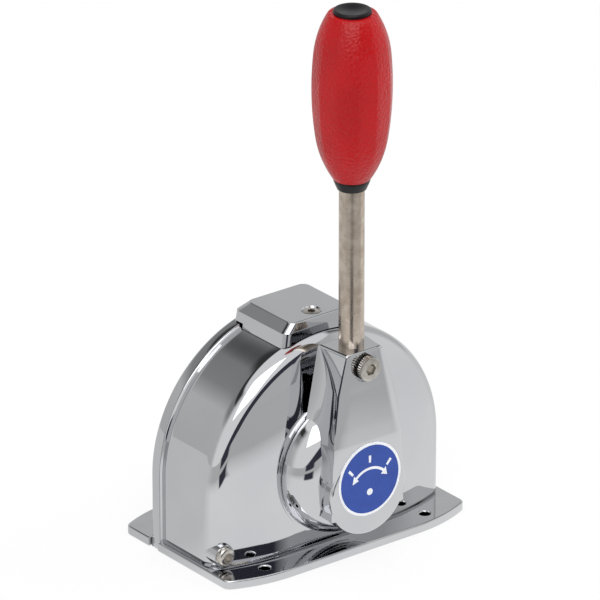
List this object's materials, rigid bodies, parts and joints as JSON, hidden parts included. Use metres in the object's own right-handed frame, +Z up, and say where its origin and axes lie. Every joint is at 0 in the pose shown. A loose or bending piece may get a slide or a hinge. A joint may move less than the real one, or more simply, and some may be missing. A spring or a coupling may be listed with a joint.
{
  "type": "boat throttle control lever",
  "caption": "Deck-mounted single lever control: D-shaped chromed housing on a bowed plate, tapered swinging arm, rod and barrel grip, cable crank inside.",
  "frame": {"origin": "centre of the four mounting holes, on the underside of the base plate", "axes": "+X along the plate, in the plane that the lever swings in; +Y to the back, along the pivot; +Z up, away from the deck"},
  "size_m": [0.1432, 0.1079, 0.2748],
  "materials": {
    "chromed_zinc": "mirror chrome on die-cast zinc",
    "stainless_rod": "brushed stainless steel bar",
    "bright_steel": "bright plated steel",
    "zinc_steel": "zinc plated steel",
    "bronze": "sintered bronze",
    "black_rubber": "matt",
    "red_plastic": "leather grained moulding",
    "black_plastic": "satin moulding",
    "blue_label": "printed, with a white border",
    "friction_lining": "moulded friction lining"
  },
  "bodies": {
    "housing": {"base_plate": "chromed_zinc", "housing_shell": "chromed_zinc", "rear_cover": "chromed_zinc", "crown_block": "chromed_zinc", "crown_screw": "bright_steel", "corner_screw": "bright_steel", "base_screws": "zinc_steel", "front_bush": "bronze", "rear_bush": "bronze", "hub_seal": "black_rubber", "stop_pins": "zinc_steel", "friction_shoe": "friction_lining", "friction_spring": "zinc_steel", "friction_screw": "zinc_steel", "cable_bracket": "zinc_steel", "bracket_screws": "zinc_steel", "cable_adjuster": "bronze", "adjuster_nuts": "zinc_steel"},
    "lever": {"lever_arm": "chromed_zinc", "pivot_shaft": "zinc_steel", "lever_key": "zinc_steel", "crank_key": "zinc_steel", "crank_arm": "zinc_steel", "spacer_sleeve": "zinc_steel", "friction_drum": "zinc_steel", "shaft_circlip": "zinc_steel", "hub_washer": "zinc_steel", "hub_bolt": "zinc_steel", "label_disc": "blue_label", "lever_rod": "stainless_rod", "clamp_screw": "bright_steel", "grip": "red_plastic", "grip_collar": "black_plastic", "grip_washer": "zinc_steel", "grip_bolt": "zinc_steel", "grip_cap": "black_plastic"},
    "cable_swivel": {"wire_anchor": "bronze", "anchor_clip": "zinc_steel", "anchor_screw": "zinc_steel"}
  },
  "joints": [
    {"name": "lever_swing", "type": "hinge", "parent": "housing", "child": "lever", "pos_m": [0, -0.02, 0.043], "axis": [0, 1, 0], "range_deg": [-80, 80]},
    {"name": "anchor_swivel", "type": "hinge", "parent": "lever", "child": "cable_swivel", "pos_m": [0.022, -0.0009, 0.043], "axis": [0, 1, 0], "range_deg": [-80, 80]}
  ],
  "couplings": [
    {"joint": "anchor_swivel", "follows": "lever_swing", "ratio": -1}
  ]
}
